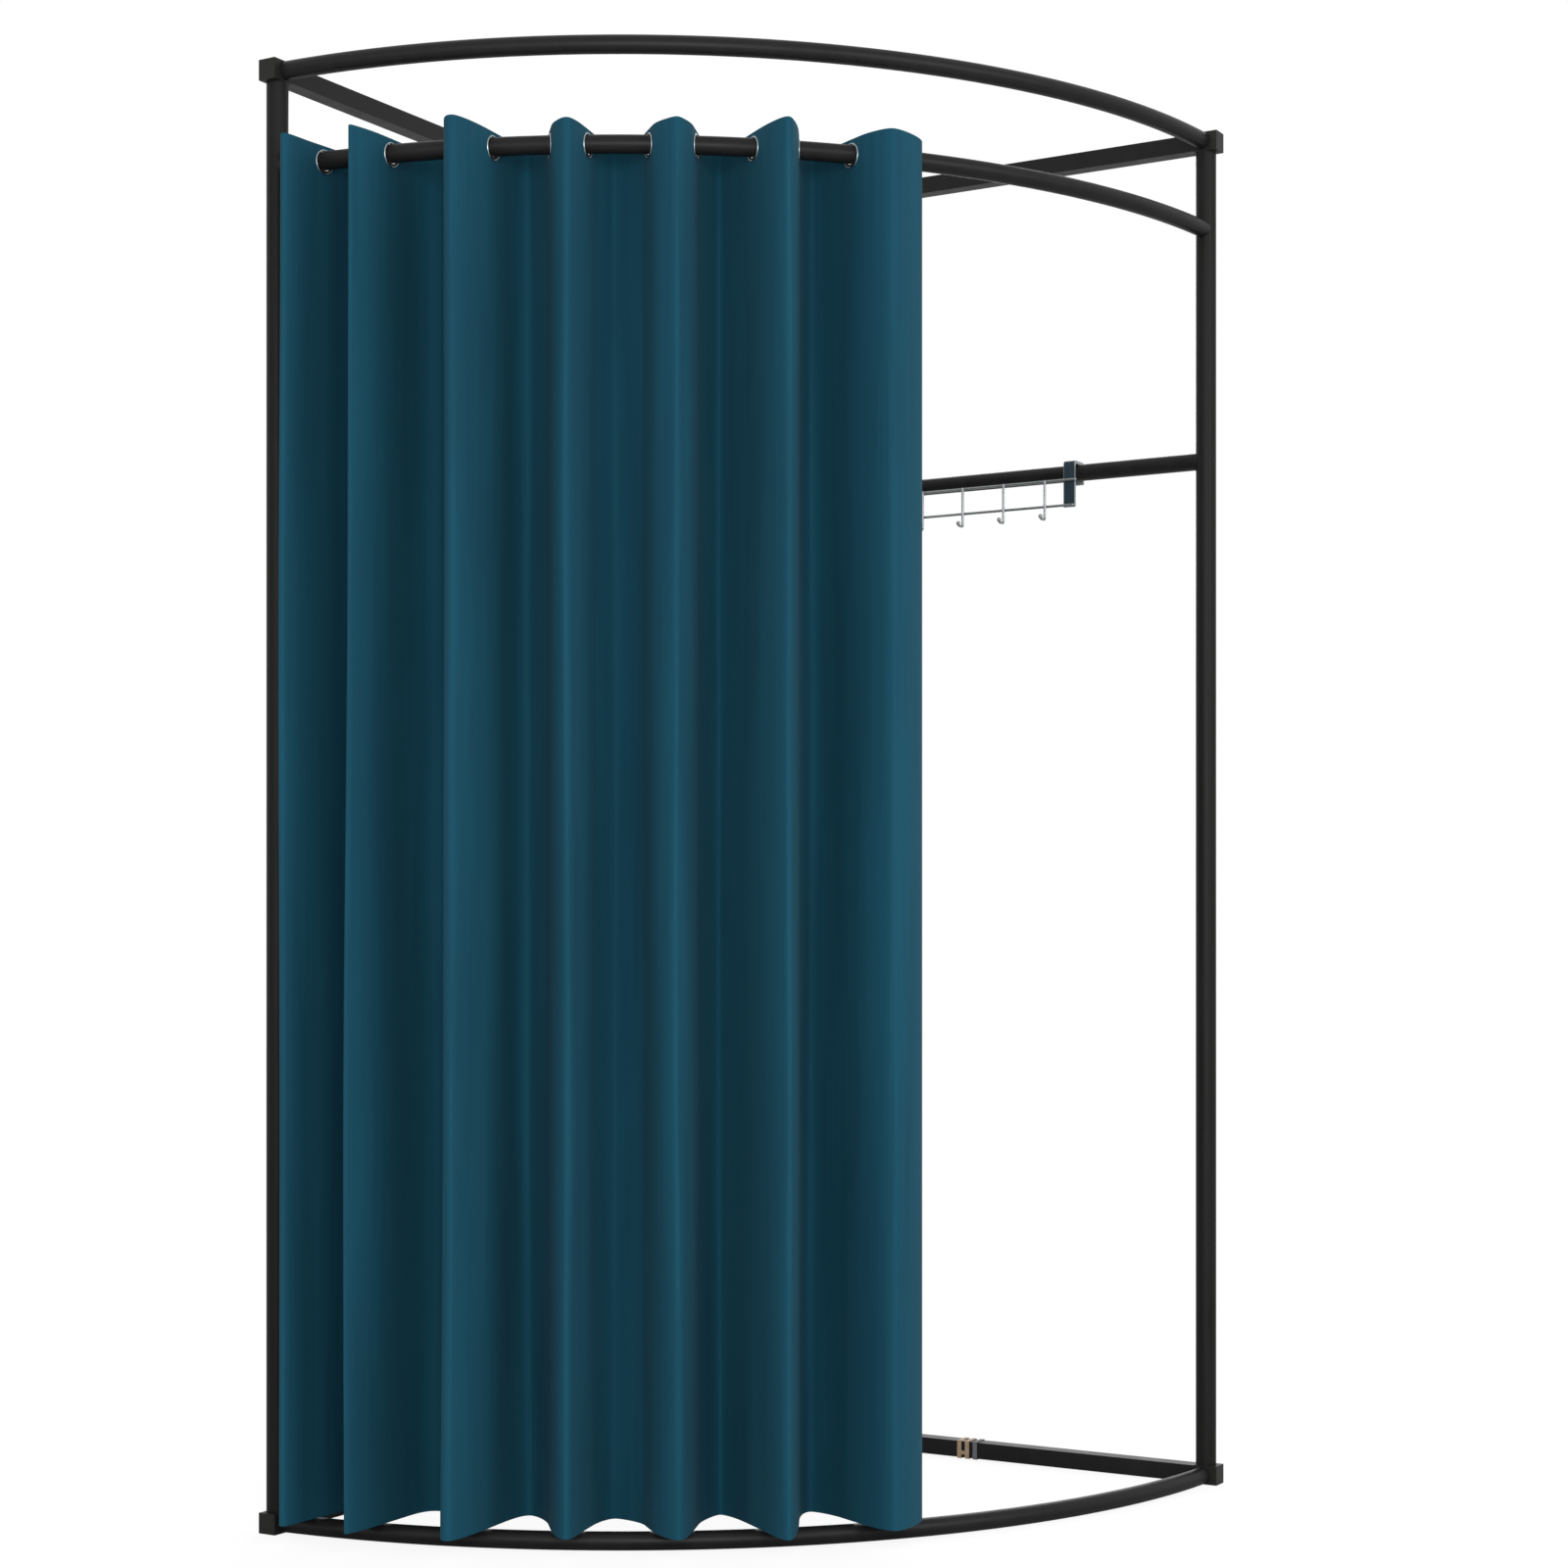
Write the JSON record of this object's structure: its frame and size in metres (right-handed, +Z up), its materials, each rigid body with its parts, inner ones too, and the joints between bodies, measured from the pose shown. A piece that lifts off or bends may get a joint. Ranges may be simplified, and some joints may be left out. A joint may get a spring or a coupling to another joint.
{
  "type": "portable fitting room",
  "caption": "Corner fitting cabin of black tubes: right-angled floor and head frames with bowed fronts on three posts, an eyelet curtain on a bowed rail, and a side bar with a hook rack.",
  "frame": {"origin": "under the back post, on the floor: the centre of the back corner block's underside", "axes": "+Z up; -Y to the bowed front, where a person steps in; +X to the right as seen from the front"},
  "size_m": [1.4086, 1.0423, 2],
  "materials": {
    "black_coat": "matte black powder coat",
    "block_coat": "matte black powder coat",
    "screw_black": "satin black",
    "teal_cloth": "plain weave, matte",
    "bright_ring": "bright plated",
    "bright_wire": "bright plated",
    "navy_strap": "satin paint with bare edges",
    "tan_plastic": "matte",
    "grey_rubber": "matte"
  },
  "bodies": {
    "frame": {"left_front_post": "black_coat", "right_front_post": "black_coat", "back_post": "black_coat", "lower_left_block": "block_coat", "lower_right_block": "block_coat", "lower_back_block": "block_coat", "upper_left_block": "block_coat", "upper_right_block": "block_coat", "upper_back_block": "block_coat", "lower_left_beam": "black_coat", "lower_right_beam": "black_coat", "upper_left_beam": "black_coat", "upper_right_beam": "black_coat", "lower_front_tube": "black_coat", "upper_front_tube": "black_coat", "curtain_rail": "black_coat", "hanging_bar": "black_coat", "left_rail_screw": "screw_black", "right_rail_screw": "screw_black", "right_bar_screw": "screw_black", "back_bar_screw": "screw_black", "beam_clip": "tan_plastic", "beam_band": "grey_rubber", "curtain_front_fold_1": "teal_cloth", "curtain_eyelet_1": "bright_ring", "curtain_eyelet_2": "bright_ring"},
    "fold_2": {"curtain_front_fold_2": "teal_cloth", "curtain_eyelet_3": "bright_ring", "curtain_eyelet_4": "bright_ring", "curtain_back_fold_1": "teal_cloth"},
    "fold_3": {"curtain_front_fold_3": "teal_cloth", "curtain_eyelet_5": "bright_ring", "curtain_eyelet_6": "bright_ring", "curtain_back_fold_2": "teal_cloth"},
    "fold_4": {"curtain_front_fold_4": "teal_cloth", "curtain_eyelet_7": "bright_ring", "curtain_eyelet_8": "bright_ring", "curtain_back_fold_3": "teal_cloth"},
    "fold_5": {"curtain_front_fold_5": "teal_cloth", "curtain_eyelet_9": "bright_ring", "curtain_eyelet_10": "bright_ring", "curtain_back_fold_4": "teal_cloth"},
    "fold_6": {"curtain_front_fold_6": "teal_cloth", "curtain_eyelet_11": "bright_ring", "curtain_eyelet_12": "bright_ring", "curtain_back_fold_5": "teal_cloth"},
    "fold_7": {"curtain_front_fold_7": "teal_cloth", "curtain_eyelet_13": "bright_ring", "curtain_eyelet_14": "bright_ring", "curtain_back_fold_6": "teal_cloth"},
    "hook_rack": {"rack_right_strap": "navy_strap", "rack_left_strap": "navy_strap", "rack_upper_wire": "bright_wire", "rack_lower_wire": "bright_wire", "rack_hook_1": "bright_wire", "rack_hook_2": "bright_wire", "rack_hook_3": "bright_wire", "rack_hook_4": "bright_wire", "rack_hook_5": "bright_wire"}
  },
  "joints": [
    {"name": "curtain_draw", "type": "hinge", "parent": "frame", "child": "fold_2", "pos_m": [0, 0.09318, 0], "axis": [0, 0, 1], "range_deg": [-1.65, 4.9], "deforming": ["curtain_back_fold_1"]},
    {"name": "curtain_draw_2", "type": "hinge", "parent": "fold_2", "child": "fold_3", "pos_m": [0, 0.09318, 0], "axis": [0, 0, 1], "range_deg": [-1.65, 4.9], "deforming": ["curtain_back_fold_2"]},
    {"name": "curtain_draw_3", "type": "hinge", "parent": "fold_3", "child": "fold_4", "pos_m": [0, 0.09318, 0], "axis": [0, 0, 1], "range_deg": [-1.65, 4.9], "deforming": ["curtain_back_fold_3"]},
    {"name": "curtain_draw_4", "type": "hinge", "parent": "fold_4", "child": "fold_5", "pos_m": [0, 0.09318, 0], "axis": [0, 0, 1], "range_deg": [-1.65, 4.9], "deforming": ["curtain_back_fold_4"]},
    {"name": "curtain_draw_5", "type": "hinge", "parent": "fold_5", "child": "fold_6", "pos_m": [0, 0.09318, 0], "axis": [0, 0, 1], "range_deg": [-1.65, 4.9], "deforming": ["curtain_back_fold_5"]},
    {"name": "curtain_draw_6", "type": "hinge", "parent": "fold_6", "child": "fold_7", "pos_m": [0, 0.09318, 0], "axis": [0, 0, 1], "range_deg": [-1.65, 4.9], "deforming": ["curtain_back_fold_6"]},
    {"name": "rack_slide", "type": "slide", "parent": "frame", "child": "hook_rack", "axis": [-0.7071, 0.7071, 0], "range_m": [-0.183, 0.345]}
  ],
  "couplings": [
    {"joint": "curtain_draw_2", "follows": "curtain_draw", "ratio": 1},
    {"joint": "curtain_draw_3", "follows": "curtain_draw", "ratio": 1},
    {"joint": "curtain_draw_4", "follows": "curtain_draw", "ratio": 1},
    {"joint": "curtain_draw_5", "follows": "curtain_draw", "ratio": 1},
    {"joint": "curtain_draw_6", "follows": "curtain_draw", "ratio": 1}
  ]
}
